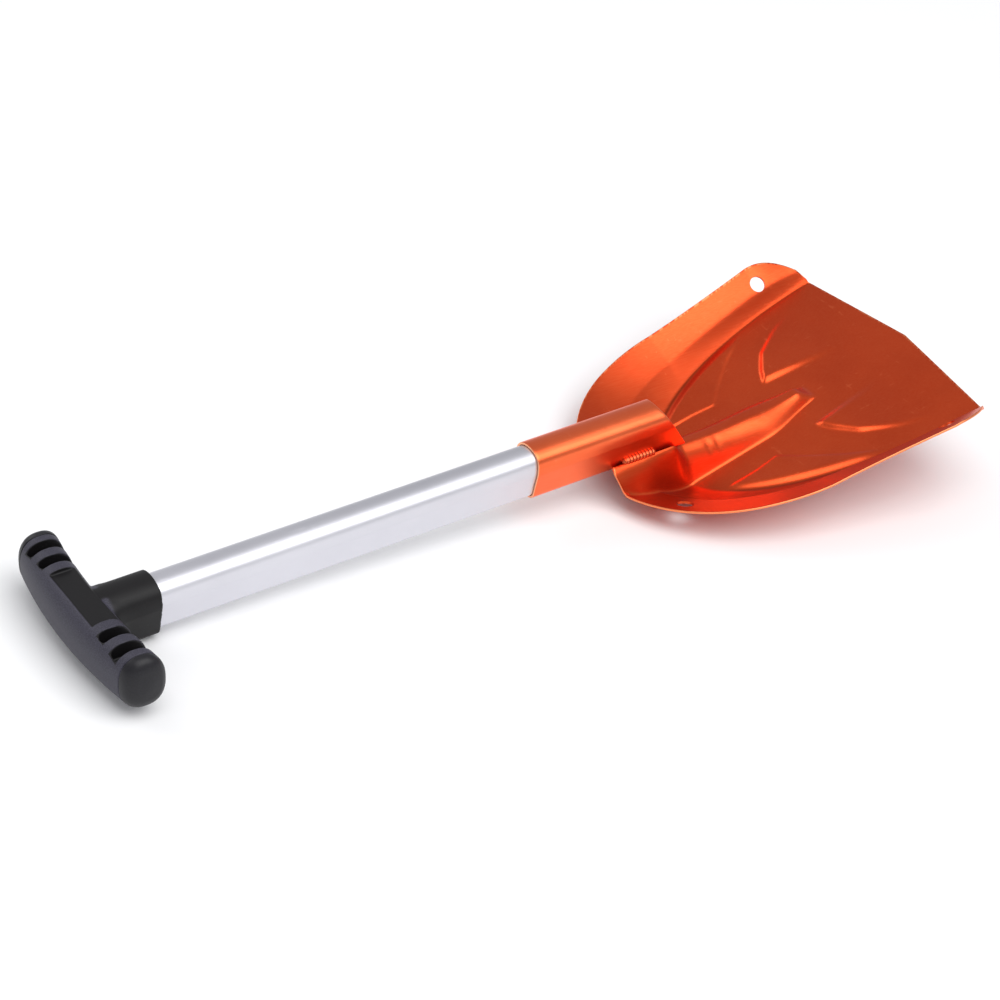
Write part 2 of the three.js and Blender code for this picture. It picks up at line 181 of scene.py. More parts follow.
@dataclass
class Surface:
    """Points in millimetres with their quads, and a number kept at each point."""

    points: Array
    quads: Array
    wear: Array

    @classmethod
    def grid(cls, points: Array, wrap_u: bool = False, wrap_v: bool = False,
             wear: Array | None = None) -> "Surface":
        """A surface of two parameters worked out on a grid.

        Args:
            points: rows by columns by 3.
            wrap_u: joins the last row to the first.
            wrap_v: joins the last column to the first.
            wear: how bare each point is rubbed, 0 to 1, or below 0 how much painted shade darkens it,
                rows by columns.
        """
        rows, columns = points.shape[:2]
        index = np.arange(rows * columns).reshape(rows, columns)
        if wrap_u:
            index = np.vstack([index, index[:1]])
        if wrap_v:
            index = np.hstack([index, index[:, :1]])
        corners = [index[:-1, :-1], index[1:, :-1], index[1:, 1:], index[:-1, 1:]]
        quads = np.stack(corners, axis=-1)
        worn = np.zeros(rows * columns) if wear is None else wear.reshape(-1)
        return cls(points.reshape(-1, 3), quads.reshape(-1, 4), worn)

    def __add__(self, other: "Surface") -> "Surface":
        """Both surfaces in one mesh."""
        return Surface(np.vstack([self.points, other.points]),
                       np.vstack([self.quads, other.quads + len(self.points)]),
                       np.concatenate([self.wear, other.wear]))


def make_object(name: str, surface: Surface, frame: ShaftFrame,
                sharp: float = 40.0) -> bpy.types.Object:
    """Puts a surface into a mesh object, on the ground and facing outwards.

    Args:
        name: the object's name.
        surface: its points and quads.
        frame: the frame that the points are in.
        sharp: edges bent more than this many degrees stay sharp.

    Returns:
        The object, at the origin with its place in its mesh.
    """
    mesh = bpy.data.meshes.new(name)
    points = frame.place(surface.points)
    mesh.vertices.add(len(points))
    mesh.vertices.foreach_set("co", points.reshape(-1))
    mesh.loops.add(surface.quads.size)
    mesh.loops.foreach_set("vertex_index", surface.quads.reshape(-1))
    mesh.polygons.add(len(surface.quads))
    mesh.polygons.foreach_set("loop_start", np.arange(0, surface.quads.size, 4))
    mesh.update(calc_edges=True)
    mesh.attributes.new("wear", "FLOAT", "POINT").data.foreach_set("value", surface.wear)
    thing = bpy.data.objects.new(name, mesh)
    bpy.context.scene.collection.objects.link(thing)
    tidy(thing, sharp)
    return thing


def tidy(thing: bpy.types.Object, sharp: float) -> None:
    """Merges doubled points, turns the faces outwards and shades them smooth."""
    work = bmesh.new()
    work.from_mesh(thing.data)
    bmesh.ops.remove_doubles(work, verts=work.verts, dist=1e-6)
    bmesh.ops.recalc_face_normals(work, faces=work.faces)
    work.to_mesh(thing.data)
    work.free()
    thing.data.polygons.foreach_set("use_smooth", np.ones(len(thing.data.polygons), dtype=bool))
    thing.data.set_sharp_from_angle(angle=math.radians(sharp))


def apply_modifiers(thing: bpy.types.Object, sharp: float = 40.0) -> None:
    """Makes the object's modifiers part of its mesh."""
    graph = bpy.context.evaluated_depsgraph_get()
    mesh = bpy.data.meshes.new_from_object(thing.evaluated_get(graph))
    thing.modifiers.clear()
    old, thing.data = thing.data, mesh
    bpy.data.meshes.remove(old)
    thing.data.polygons.foreach_set("use_smooth", np.ones(len(mesh.polygons), dtype=bool))
    thing.data.set_sharp_from_angle(angle=math.radians(sharp))


def carve(thing: bpy.types.Object, tools: Sequence[bpy.types.Object],
          operation: str = "DIFFERENCE", sharp: float = 40.0) -> None:
    """Cuts tools out of an object, or joins them to it, and removes them."""
    for tool in tools:
        change = thing.modifiers.new(tool.name, "BOOLEAN")
        change.operation = operation
        change.solver = "EXACT"
        change.object = tool
    apply_modifiers(thing, sharp)
    for tool in tools:
        bpy.data.objects.remove(tool)


# ---------------------------------------------------------------- the tube section


@dataclass(frozen=True)
class EggSection:
    """The section of the tubes: an arched top and tall sides that lean in to a rounded
    narrower bottom. Sizes are across and over all."""

    width: float
    height: float

    def outline(self, count: int) -> Array:
        """Evenly spaced points round the section.

        Each side is a quadratic curve, a straight, a cubic curve and a quadratic curve,
        from the bottom to the top. The other side is its mirror.

        Args:
            count: how many points in all.

        Returns:
            count by 2, across and up.
        """
        half, top = self.width / 2, self.height / 2
        t = np.linspace(0, 1, 60)[:, None]

        def quadratic(a: tuple, b: tuple, c: tuple) -> Array:
            """The curve (1-t)^2 a + 2t(1-t) b + t^2 c."""
            return ((1 - t) ** 2 * np.array(a) + 2 * t * (1 - t) * np.array(b)
                    + t ** 2 * np.array(c))

        def cubic(a: tuple, b: tuple, c: tuple, d: tuple) -> Array:
            """The cubic curve through a and d, drawn towards b and c."""
            return ((1 - t) ** 3 * np.array(a) + 3 * t * (1 - t) ** 2 * np.array(b)
                    + 3 * t ** 2 * (1 - t) * np.array(c) + t ** 3 * np.array(d))

        corner = (0.72, -0.74)
        waist = (0.99, 0.2)
        shoulder = (0.7, 0.87)
        side = np.vstack([
            quadratic((0, -1), (0.62, -1), corner),
            np.array(corner) + t * (np.array(waist) - np.array(corner)),
            cubic(waist, (1.01, 0.6), (0.95, 0.72), shoulder),
            quadratic(shoulder, (0.4, 1), (0, 1)),
        ])
        loop = np.vstack([side, side[::-1] * (-1, 1)]) * (half, top)
        length = np.r_[0, np.cumsum(np.hypot(*np.diff(loop, axis=0).T))]
        along = np.linspace(0, length[-1], count, endpoint=False)
        return np.stack([np.interp(along, length, loop[:, i]) for i in (0, 1)], axis=1)


@dataclass(frozen=True)
class Tube:
    """An egg-section tube along X with turned-over rims.

    The front end may be cut obliquely, from front_top at the top to front_bottom at the
    bottom.
    """

    outer: EggSection
    wall: float
    rear: float
    front_top: float
    front_bottom: float
    rim: float = 0.35
    around: int = 144
    steps: int = 60

    def surface(self) -> Surface:
        """The tube as one closed surface.

        A profile of outside, front rim, inside and rear rim is carried round the
        section. Ends are moved back in proportion to their height for an oblique cut.
        """
        inner = EggSection(self.outer.width - 2 * self.wall, self.outer.height - 2 * self.wall)
        ring_out = self.outer.outline(self.around)
        ring_in = inner.outline(self.around)
        run = np.linspace(0, 1, self.steps)
        turn = np.linspace(0, math.pi / 2, 4)[1:]
        lip = self.rim / self.wall
        along, depth, inset, wear = [], [], [], []

        def add(part: Array, sink: Array, edge: Array, worn: float) -> None:
            """Adds a stretch of the profile.

            Args:
                part: places along the tube, 0 at the rear and 1 at the front.
                sink: places through the wall, 0 outside and 1 inside.
                edge: how far forward each place is moved, in millimetres.
                worn: how bare it is rubbed.
            """
            along.append(part)
            depth.append(sink)
            inset.append(edge)
            wear.append(np.full(len(part), worn))

        sink = lip * (1 - np.cos(turn))
        draw = self.rim - self.rim * np.sin(turn)
        end = np.ones(len(turn))
        add(run, 0 * run, self.rim * (1 - 2 * run), 0.0)
        add(end, sink, -draw, 1.0)
        add(end, 1 - sink[::-1], -draw[::-1], 1.0)
        add(run[::-1], 1 + 0 * run, self.rim * (1 - 2 * run[::-1]), 0.0)
        add(0 * end, 1 - sink, draw, 1.0)
        add(0 * end, sink[::-1], draw[::-1], 1.0)
        s, d, e, w = (np.concatenate(x)[:, None] for x in (along, depth, inset, wear))
        yz = ring_out[None] * (1 - d[..., None]) + ring_in[None] * d[..., None]
        rise = (yz[..., 1] / self.outer.height + 0.5)
        front = self.front_bottom + (self.front_top - self.front_bottom) * rise
        x = self.rear + (front - self.rear) * s + e
        points = np.dstack([x, yz[..., 0], yz[..., 1]])
        return Surface.grid(points, wrap_u=True, wrap_v=True, wear=np.broadcast_to(w, x.shape))


def turned(profile: Sequence[tuple[float, float]], count: int = 48,
           radius: Callable[[Array, Array], Array] | None = None) -> Surface:
    """A profile of radius and height turned about Z, closed at both poles.

    Args:
        profile: radius and height, from one pole to the other.
        count: points round it.
        radius: makes the radius from radii and angles, for a shape that isn't round.

    Returns:
        A closed surface about the Z axis.
    """
    line = np.array(profile, dtype=float)
    angle = np.linspace(0, 2 * math.pi, count, endpoint=False)
    r = np.repeat(line[:, :1], count, axis=1)
    if radius is not None:
        r = radius(r, angle[None])
    z = np.repeat(line[:, 1:], count, axis=1)
    return Surface.grid(np.dstack([r * np.cos(angle), r * np.sin(angle), z]), wrap_v=True)


def moved(surface: Surface, shift: Sequence[float]) -> Surface:
    """The surface moved in its frame."""
    return Surface(surface.points + np.array(shift), surface.quads, surface.wear)


def drill(centre: Array, axis: Array, radius: float, length: float) -> Surface:
    """A round cutter about a point along an axis."""
    half = length / 2
    rod = turned([(0, -half), (radius, -half), (radius, half), (0, half)], 64)
    tilt = np.array(Vector((0, 0, 1)).rotation_difference(Vector(axis)).to_matrix())
    return Surface(rod.points @ tilt.T + centre, rod.quads, np.ones(len(rod.points)))


def closed(rings: Array) -> Surface:
    """Rings with both ends drawn to their middles."""
    ends = [np.repeat(rings[i].mean(axis=0)[None, None], rings.shape[1], axis=1)
            for i in (0, -1)]
    return Surface.grid(np.vstack([ends[0], rings, ends[1]]), wrap_v=True)


# ---------------------------------------------------------------- blade


SHAFT_SECTION = EggSection(23.2, 35.7)
SOCKET_SECTION = EggSection(26.8, 39.3)


@dataclass(frozen=True)
class BladeSheet:
    """The pressed sheet: u forward and v sideways on the floor plane, a height above it.

    The pan has a flat floor and side flanges that bend up steeply and then flare out.
    A ridge runs from under the socket down to the floor, and shallow pads are pressed
    into the floor on each side of it.
    """

    width: float = 230.0
    length: float = 270.0
    thickness: float = 1.6
    pitch: float = math.radians(13.9)
    rear_x: float = 72.5
    drop: float = 42.0
    origin_z: float = -SOCKET_SECTION.height / 2 - CLEARANCE - drop
    flange_front: float = 24.6
    flange_rear: float = 33.0
    point_depth: float = 12.5
    notch: float = 8.0
    taper: float = 0.125
    cradle_half: float = 12.0
    cradle_rise: float = 8.0
    cradle_foot: float = 23.0
    ridge_height: float = 9.0
    ridge_columns: float = 0.34
    ridge_half: float = 26.0
    floor_front: float = 1.009
    floor_rear: float = 0.208
    floor_share: float = 0.411
    flange_bend: float = 0.38
    flange_bend_height: float = 0.52
    wedge_height: float = 2.5
    crescent_height: float = 2.2
    dimple_depth: float = 0.7
    dimple_places: tuple = (84, 92)
    dimple_side: float = 9.5
    edge_bulge: float = 0.55

    @property
    def shoulder(self) -> float:
        """Where the sheet starts at its sides."""
        return self.length * 0.006

    @property
    def notch_u(self) -> float:
        """Where the sheet starts in the middle, behind which the shaft is free."""
        return self.shoulder + self.notch

    @property
    def rim_centre(self) -> float:
        """Where the rounded rear of the outline ends."""
        return self.length * 0.439

    @property
    def corner_start(self) -> float:
        """Where the side's front corner starts to round."""
        return self.length * 0.801

    @property
    def corner_u(self) -> float:
        """Where the front corners are."""
        return self.length - self.point_depth

    def rim_straight(self, u: Array) -> Array:
        """Half width without the rounded rear and corners: it widens forward."""
        start = self.rim_centre * 0.6
        along = clamp01((u - start) / (self.corner_start - start))
        return self.width / 2 * (1 - self.taper + self.taper * along ** 1.5)

    def rim_half(self, u: Array) -> Array:
        """Half width of the outline: an ellipse behind, corners cut in front."""
        back = clamp01((self.rim_centre - u) / self.rim_centre)
        corner = clamp01((u - self.corner_start) / (self.corner_u - self.corner_start))
        cut_back = self.width * 0.082 * corner ** 2.5
        return self.rim_straight(u) * np.sqrt(1 - back ** 2) - cut_back

    def floor_back(self, u: Array) -> Array:
        """0 at the front of the floor's quarter ellipse and 1 at its rear."""
        centre, rear = self.length * self.floor_front, self.length * self.floor_rear
        return (centre - u) / (centre - rear)

    def floor_half(self, u: Array) -> Array:
        """Half width of the flat floor, a quarter ellipse that opens forward."""
        back = clamp01(self.floor_back(u))
        return self.width * self.floor_share * np.sqrt(np.maximum(0, 1 - back ** 2))

    def share(self, u: Array, v: Array) -> Array:
        """0 on the floor, 1 on the rim, and between them up the flange."""
        behind = clamp01((self.rim_centre - u) / self.rim_centre)
        rim = np.hypot(behind, v / self.rim_straight(u))
        back = np.maximum(0, self.floor_back(u))
        floor = np.maximum(np.hypot(back, v / (self.width * self.floor_share)) - 1, 0)
        return floor / np.maximum(floor + np.maximum(0, 1 - rim), 1e-9) * (floor > 0)

    def pan(self, u: Array, v: Array) -> Array:
        """Height of the pan: the flange bends up as a power curve, then runs straight."""
        s, bend, knee = self.share(u, v), self.flange_bend, self.flange_bend_height
        profile = np.where(s < bend, knee * (s / bend) ** 1.25,
                           knee + (1 - knee) * (s - bend) / (1 - bend))
        higher = self.flange_rear - self.flange_front
        rim = self.flange_front + higher * clamp01(1 - u / self.rim_centre)
        front = 1 - 0.28 * smooth((u - self.corner_start) / (self.length - self.corner_start))
        return rim * front * profile

    def ridge(self, u: Array, v: Array, pan: Array) -> Array:
        """Height of the pan with the ridge that cradles the socket and runs forward.

        Under the socket the crest follows the tube. Ahead of it the ridge narrows and
        runs out on the floor, and its flanks fall with a rounded foot.
        """
        level = (self.drop - u * math.sin(self.pitch)) / math.cos(self.pitch)
        along = self.rear_x + u * math.cos(self.pitch) - level * math.sin(self.pitch)
        share = u / self.length
        ahead = smooth((along - SOCKET_LENGTH + 14) / 12)
        run_out = smooth((share - 0.26) / 0.22)
        cradle = self.cradle_rise * np.minimum(1, np.abs(v) / self.cradle_half) ** 4
        crest = np.hypot(np.maximum(0, level - ahead * 1.8), self.ridge_height * run_out)
        crest = crest + (1 - ahead) * cradle
        tip = smooth((self.length * 0.677 - u) / (self.length * 0.06))
        ridge = np.maximum(pan, crest * tip)
        top = self.cradle_half - 10 * ahead
        foot = (self.cradle_foot - 6 * smooth((share - 0.07) / 0.19)
                - 9 * smooth((share - 0.48) / 0.18))
        left = (foot - np.abs(v)) / (foot - top)
        left = (left + np.hypot(left, 0.07)) / 2
        fall = (1 - np.minimum(1, left)) ** 2
        return pan + (ridge - pan) * (1 - fall)

    def pads(self, u: Array, v: Array) -> Array:
        """The pads pressed up from the floor, each under three millimetres high.

        A wedge opens forward from a corner beside the ridge and fades out, and a
        crescent lies along the foot of the flange behind it.
        """
        side = np.abs(v)
        inner = 27 - 6.5 * (u - 160) / 63
        outer = np.interp(u, [158, 160, 169, 181, 197, 206, 240], [24, 27, 43, 58, 68, 73, 84])
        wedge = smooth((side - inner) / 7) * smooth((outer - side) / 6)
        wedge = wedge * (1 - smooth((u - 165) / 68))
        wedge = wedge * smooth((u - 157) / 4)
        near = np.interp(u, [70, 104, 122, 138, 158, 182], [36, 36, 34, 49, 65, 80])
        far = self.floor_half(u) - 0.5
        lens = (side - near) / np.maximum(far - near, 1e-3)
        crescent = smooth((side - near) / 2.5) * smooth((far - side) / 8)
        crescent = crescent * (0.35 + 0.85 * clamp01(lens))
        crescent = crescent * smooth((u - 74) / 12) * (1 - smooth((u - 158) / 28))
        return self.wedge_height * wedge + self.crescent_height * crescent

    def dimples(self, u: Array, v: Array) -> Array:
        """Two small press marks on each flank of the ridge, ahead of the socket."""
        side = np.abs(v)
        across = ((side - self.dimple_side) / 3) ** 2
        return sum(self.dimple_depth * np.exp(-((u - place) / 2.2) ** 2 - across)
                   for place in self.dimple_places)

    def height(self, u: Array, v: Array) -> Array:
        """Height of the sheet's upper face over the floor plane."""
        return self.ridge(u, v, self.pan(u, v)) + self.pads(u, v) - self.dimples(u, v)

    def point(self, u: Array, v: Array, depth: float | Array = 0.0) -> Array:
        """Points under the upper face by a depth measured square to it."""
        step = 0.35
        slope_u = (self.height(u + step, v) - self.height(u - step, v)) / (2 * step)
        slope_v = (self.height(u, v + step) - self.height(u, v - step)) / (2 * step)
        unit = depth / np.sqrt(1 + slope_u ** 2 + slope_v ** 2)
        uu, vv, hh = u + slope_u * unit, v + slope_v * unit, self.height(u, v) - unit
        x = self.rear_x + uu * math.cos(self.pitch) - hh * math.sin(self.pitch)
        z = self.origin_z + uu * math.sin(self.pitch) + hh * math.cos(self.pitch)
        return np.stack([x, vv, z], axis=-1)

    def normal(self, u: float, v: float) -> Array:
        """The upper face's direction at a place."""
        here = self.point(np.array(u), np.array(v), 0.0)
        under = self.point(np.array(u), np.array(v), 1.0)
        return (here - under) / np.linalg.norm(here - under)

    def painted_crease_shade(self, u: Array, v: Array) -> Array:
        """Painted shade, 0 to 1: how much the dye is darkened in the bend at the flange's foot
        and in the corner beside the rear of the ridge."""
        side = np.abs(v)
        gap = side - self.floor_half(u)
        bend = np.exp(-((gap - 0.4) / 1.3) ** 2) * smooth((u - 66) / 20) * 0.9
        corner = smooth((u - 14) / 24) * smooth((92 - u) / 34)
        corner = corner * smooth((side - 15) / 8) * smooth((54 - side) / 16)
        return np.maximum(bend, 0.55 * corner)

    def surface(self, rows: int = 190, columns: int = 220) -> Surface:
        """The sheet as a closed surface with rounded edges.

        Rows crowd at the rear and bend forward in the middle, columns crowd on the
        ridge, and the rim is the upper face's outline bulged out by part of the
        thickness before it turns under.
        """
        along = np.linspace(0, 1, rows) ** 1.25
        across = np.linspace(-1, 1, columns)
        edge = (self.shoulder + (self.corner_u - self.shoulder) * along)[:, None]
        middle = (self.notch_u + (self.length - self.notch_u) * along)[:, None]
        rim = self.rim_half(edge)
        ridge = np.minimum(self.ridge_half, rim * 0.6)
        on = np.minimum(1, np.abs(across) / self.ridge_columns)
        beyond = np.maximum(0, (np.abs(across) - self.ridge_columns) / (1 - self.ridge_columns))
        v = ridge * on + (rim - ridge) * beyond
        u = middle + (edge - middle) * (v / rim)
        v = v * np.sign(across)
        layers = [self.point(u, v, 0.0), self.point(u, v, self.thickness)]
        index = np.arange(rows * columns).reshape(rows, columns)
        border = np.r_[index[0, :-1], index[:-1, -1], index[-1, :0:-1], index[:0:-1, 0]]
        inside = np.r_[index[1, :-1], index[:-1, -2], index[-2, :0:-1], index[:0:-1, 1]]
        top, bottom = layers[0].reshape(-1, 3)[border], layers[1].reshape(-1, 3)[border]
        out = top - layers[0].reshape(-1, 3)[inside]
        out = out / np.maximum(np.linalg.norm(out, axis=1, keepdims=True), 1e-9)
        turn = np.linspace(0, math.pi, 6)[:, None, None]
        half = (top - bottom) / 2
        bulge = out * (self.edge_bulge * np.sin(turn))
        edge_rings = (top + bottom) / 2 + half * np.cos(turn) + bulge
        # The crease values go into the upper face's attribute below 0, as painted shade in the bend
        # and the corner.
        painted_crease_shade = self.painted_crease_shade(u, v)
        faces = Surface.grid(layers[0], wear=-painted_crease_shade) + Surface.grid(layers[1])
        rubbed = np.ones(edge_rings.shape[:2])
        return faces + Surface.grid(edge_rings, wrap_v=True, wear=rubbed)


@dataclass(frozen=True)
class Blade:
    """The blade with its lashing holes, its socket and the two welds between them."""

    frame: ShaftFrame
    sheet: BladeSheet = BladeSheet()
    hole: float = 12.0
    hole_places: tuple = ((0.127, 0.207), (0.806, 0.449))
    socket: Tube = Tube(SOCKET_SECTION, WALL, 0.0, 103.0, SOCKET_LENGTH)
    button_hole: float = 8.6
    weld_length: float = 28.0
    weld_radius: float = 2.9
    weld_swell: float = 0.35
    weld_pitch: float = 2.7
    weld_across: float = 10.9
    weld_up: float = -11.6

    def build_sheet(self) -> bpy.types.Object:
        """The pressed sheet with its four holes."""
        sheet = self.sheet
        thing = make_object("blade_sheet", sheet.surface(), self.frame, 60)
        cutters = []
        for along, across in self.hole_places:
            for side in (1, -1):
                u, v = sheet.length * along, side * sheet.width * across
                centre = sheet.point(np.array(u), np.array(v), 0.8)
                cutters.append(drill(centre, sheet.normal(u, v), self.hole / 2, 12))
        tools = [make_object(f"hole_{i}", cutter, self.frame) for i, cutter in enumerate(cutters)]
        carve(thing, tools, sharp=50)
        return thing

    def build_socket(self) -> bpy.types.Object:
        """The socket tube with the button's hole through its underside."""
        thing = make_object("socket_tube", self.socket.surface(), self.frame)
        hole = drill(np.array([BUTTON_PLACE, 0, -20.0]), UP, self.button_hole / 2, 12)
        carve(thing, [make_object("button_hole", hole, self.frame)])
        return thing

    def build_weld(self, side: int) -> bpy.types.Object:
        """A rippled bead along the seam between the socket and the sheet.

        A half-round section is carried forward along the socket's side. Its radius
        swells and shrinks like overlapping coins, leaning back at the top, and runs out
        round at both ends.
        """
        sheet = self.sheet
        start = float(sheet.point(np.array(sheet.notch_u), np.array(0.0))[0])
        length = self.weld_length
        steps, around = 150, 28
        s = np.linspace(0, 1, steps)[:, None]
        angle = np.linspace(0, 2 * math.pi, around, endpoint=False)[None]
        lag = 0.9 * np.abs(np.sin(angle / 2 + 0.4))
        ripple = np.abs(np.sin(math.pi * (s * length / self.weld_pitch) - lag))
        end = np.sqrt(1 - np.abs(2 * s - 1) ** 10)
        radius = (self.weld_radius + self.weld_swell * ripple) * end
        y = side * (self.weld_across + radius * np.cos(angle))
        z = self.weld_up + 0.9 * radius * np.sin(angle)
        x = start + s * length + 0 * angle
        points = np.dstack([x, y, z])
        bead = Surface.grid(points, wrap_v=True, wear=0.35 * (1 - ripple) + 0 * x)
        name = "weld_bead_left" if side > 0 else "weld_bead_right"
        return make_object(name, bead, self.frame, 70)


# ---------------------------------------------------------------- shaft and clip


@dataclass(frozen=True)
class Shaft:
    """The silver shaft and the snap clip inside its front end."""

    frame: ShaftFrame
    tube: Tube = Tube(SHAFT_SECTION, WALL, GRIP_AXIS + 3.0, ENGAGEMENT, ENGAGEMENT, steps=120)
    clip_width: float = 9.0
    clip_length: float = 34.0
    clip_lead: float = 8.0
    clip_thickness: float = 0.8
    button_radius: float = 4.0
    button_tip: float = -22.65

    @property
    def strip_rest(self) -> float:
        """How far each arm of the strip lies from the shaft's axis at rest."""
        return self.tube.outer.height / 2 - self.tube.wall - 2 * self.clip_thickness

    def build_tube(self) -> bpy.types.Object:
        """The tube with the button's and the screw's holes through its underside."""
        thing = make_object("shaft_tube", self.tube.surface(), self.frame)
        places = ((BUTTON_PLACE, 4.3), (SCREW_PLACE, 2.8))
        holes = [drill(np.array([x, 0, -17.0]), UP, radius, 12) for x, radius in places]
        tools = [make_object(f"shaft_hole_{i}", hole, self.frame) for i, hole in enumerate(holes)]
        carve(thing, tools)
        return thing

    def build_button(self) -> bpy.types.Object:
        """The clip's round button, drawn out of the strip with a rounded nose."""
        tip, radius = self.button_tip, self.button_radius
        arc = np.linspace(math.pi / 2, 0, 9)
        bend = 1.4
        nose = [(radius - bend + bend * math.cos(a), tip + bend - bend * math.sin(a)) for a in arc]
        profile = [(0, tip), (radius * 0.3, tip)] + nose + [(radius, -15.2), (0, -15.2)]
        return make_object("clip_button", moved(turned(profile), (BUTTON_PLACE, 0, 0)), self.frame)

    def build_spring(self) -> bpy.types.Object:
        """The spring strip: a flat ribbon bent back on itself.

        A rectangular section with rounded edges is carried along the bent line, whose
        corners are cut off at a quarter of each length, three times over.
        """
        rest = self.strip_rest
        front = BUTTON_PLACE + self.clip_lead
        bend = front - self.clip_length
        arm = [(front, -rest), (bend + 15, -rest), (bend + 9, -rest * 0.8),
               (bend + 1.5, -rest * 0.22)]
        line = np.array(arm + [(bend, 0)] + [(x, -z) for x, z in arm[::-1]], dtype=float)
        for _ in range(3):
            near = line[:-1] * 0.75 + line[1:] * 0.25
            far = line[:-1] * 0.25 + line[1:] * 0.75
            line = np.vstack([line[:1], np.stack([near, far], 1).reshape(-1, 2), line[-1:]])
        tangent = np.gradient(line, axis=0)
        tangent /= np.linalg.norm(tangent, axis=1, keepdims=True)
        normal = np.stack([-tangent[:, 1], tangent[:, 0]], 1)
        a = np.linspace(0, 2 * math.pi, 24, endpoint=False)
        across = np.sign(np.cos(a)) * np.abs(np.cos(a)) ** 0.3 * self.clip_width / 2
        thick = np.sign(np.sin(a)) * np.abs(np.sin(a)) ** 0.3 * self.clip_thickness / 2
        xz = line[:, None] + normal[:, None] * thick[None, :, None]
        points = np.dstack([xz[..., 0], np.broadcast_to(across, xz.shape[:2]), xz[..., 1]])
        return make_object("clip_spring", closed(points), self.frame)


# ---------------------------------------------------------------- grip


